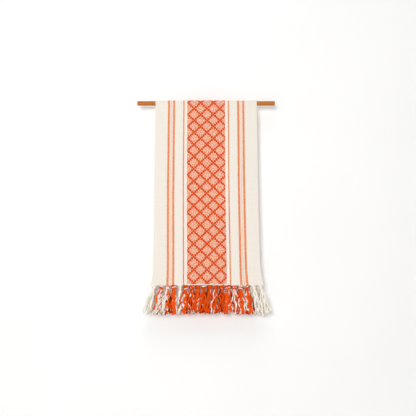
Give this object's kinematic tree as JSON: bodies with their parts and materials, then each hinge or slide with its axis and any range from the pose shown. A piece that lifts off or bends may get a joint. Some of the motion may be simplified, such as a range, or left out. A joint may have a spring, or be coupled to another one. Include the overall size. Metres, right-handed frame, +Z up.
{
  "type": "table runner",
  "caption": "Woven cotton table runner with a diamond pattern band, side stripes and knotted fringes, folded in half over a wooden hanging rod.",
  "frame": {"origin": "middle of the hanging rod's axis", "axes": "+X along the rod towards the right as seen from the front, -Y out of the front leaf, +Z up"},
  "size_m": [0.49, 0.0322, 0.7492],
  "materials": {
    "rod_wood": "oiled, golden brown, fine straight grain",
    "woven_cotton": "matt hand-woven cotton, cream with orange warp stripes and an orange diamond band",
    "cream_yarn": "matt plied cotton yarn, cream",
    "mixed_yarn": "matt plied cotton yarn, cream and orange",
    "orange_yarn": "matt plied cotton yarn, orange"
  },
  "bodies": {
    "rod": {"hanging_rod": "rod_wood"},
    "runner": {"runner_fold": "woven_cotton", "runner_back_leaf": "woven_cotton"},
    "front_leaf": {"runner_front_leaf": "woven_cotton"},
    "front_fringe": {"front_tassel_01": "cream_yarn", "front_tassel_02": "cream_yarn", "front_tassel_03": "mixed_yarn", "front_tassel_04": "mixed_yarn", "front_tassel_05": "mixed_yarn", "front_tassel_06": "orange_yarn", "front_tassel_07": "orange_yarn", "front_tassel_08": "orange_yarn", "front_tassel_09": "orange_yarn", "front_tassel_10": "orange_yarn", "front_tassel_11": "orange_yarn", "front_tassel_12": "orange_yarn", "front_tassel_13": "orange_yarn", "front_tassel_14": "mixed_yarn", "front_tassel_15": "mixed_yarn", "front_tassel_16": "mixed_yarn", "front_tassel_17": "cream_yarn", "front_tassel_18": "cream_yarn"},
    "back_fringe": {"back_tassel_01": "cream_yarn", "back_tassel_02": "cream_yarn", "back_tassel_03": "mixed_yarn", "back_tassel_04": "mixed_yarn", "back_tassel_05": "mixed_yarn", "back_tassel_06": "orange_yarn", "back_tassel_07": "orange_yarn", "back_tassel_08": "orange_yarn", "back_tassel_09": "orange_yarn", "back_tassel_10": "orange_yarn", "back_tassel_11": "orange_yarn", "back_tassel_12": "orange_yarn", "back_tassel_13": "orange_yarn", "back_tassel_14": "mixed_yarn", "back_tassel_15": "mixed_yarn", "back_tassel_16": "mixed_yarn", "back_tassel_17": "cream_yarn", "back_tassel_18": "cream_yarn"}
  },
  "joints": [
    {"name": "runner_slide", "type": "slide", "parent": "rod", "child": "runner", "axis": [1, 0, 0], "range_m": [-0.06, 0.06]},
    {"name": "front_leaf_lift", "type": "hinge", "parent": "runner", "child": "front_leaf", "pos_m": [0, -0.0091, 0], "axis": [-1, 0, 0], "range_deg": [0, 75]},
    {"name": "front_fringe_hang", "type": "hinge", "parent": "front_leaf", "child": "front_fringe", "pos_m": [0, -0.0091, -0.645], "axis": [1, 0, 0], "range_deg": [0, 75]},
    {"name": "back_fringe_swing", "type": "hinge", "parent": "runner", "child": "back_fringe", "pos_m": [0, 0.0091, -0.645], "axis": [1, 0, 0], "range_deg": [0, 20]}
  ],
  "couplings": [
    {"joint": "front_fringe_hang", "follows": "front_leaf_lift", "ratio": 1}
  ]
}
